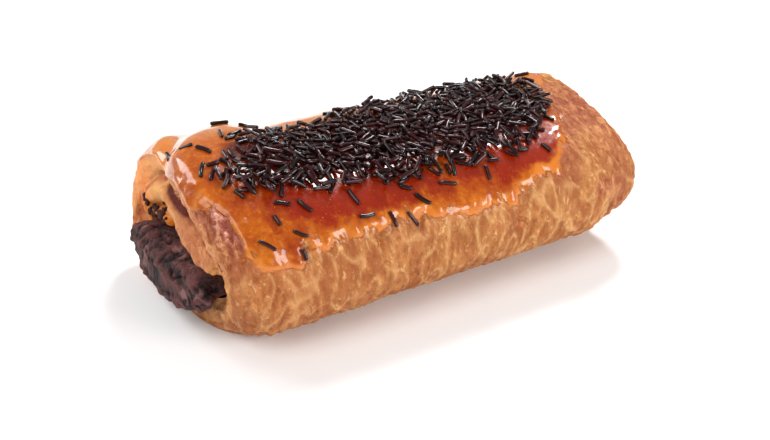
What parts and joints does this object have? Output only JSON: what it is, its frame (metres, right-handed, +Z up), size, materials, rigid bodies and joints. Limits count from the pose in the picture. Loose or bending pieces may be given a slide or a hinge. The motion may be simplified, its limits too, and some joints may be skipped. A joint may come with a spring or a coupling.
{
  "type": "pain au chocolat",
  "caption": "Baked roll of laminated dough round a chocolate filling that swells out of an open end, with a glossy glazed top strewn with chocolate sprinkles. Rests on its flat base.",
  "frame": {"origin": "middle of the flat base, under the middle of the roll", "axes": "+X along the roll, away from the open end with the swelling filling; -Y towards the side seen in the picture; +Z up"},
  "size_m": [0.136, 0.0722, 0.0471],
  "materials": {
    "crust": "golden baked dough, glazed amber on the top",
    "filling": "dark crumbly chocolate"
  },
  "bodies": {
    "root": {"crust": "crust", "filling": "filling"}
  },
  "joints": []
}
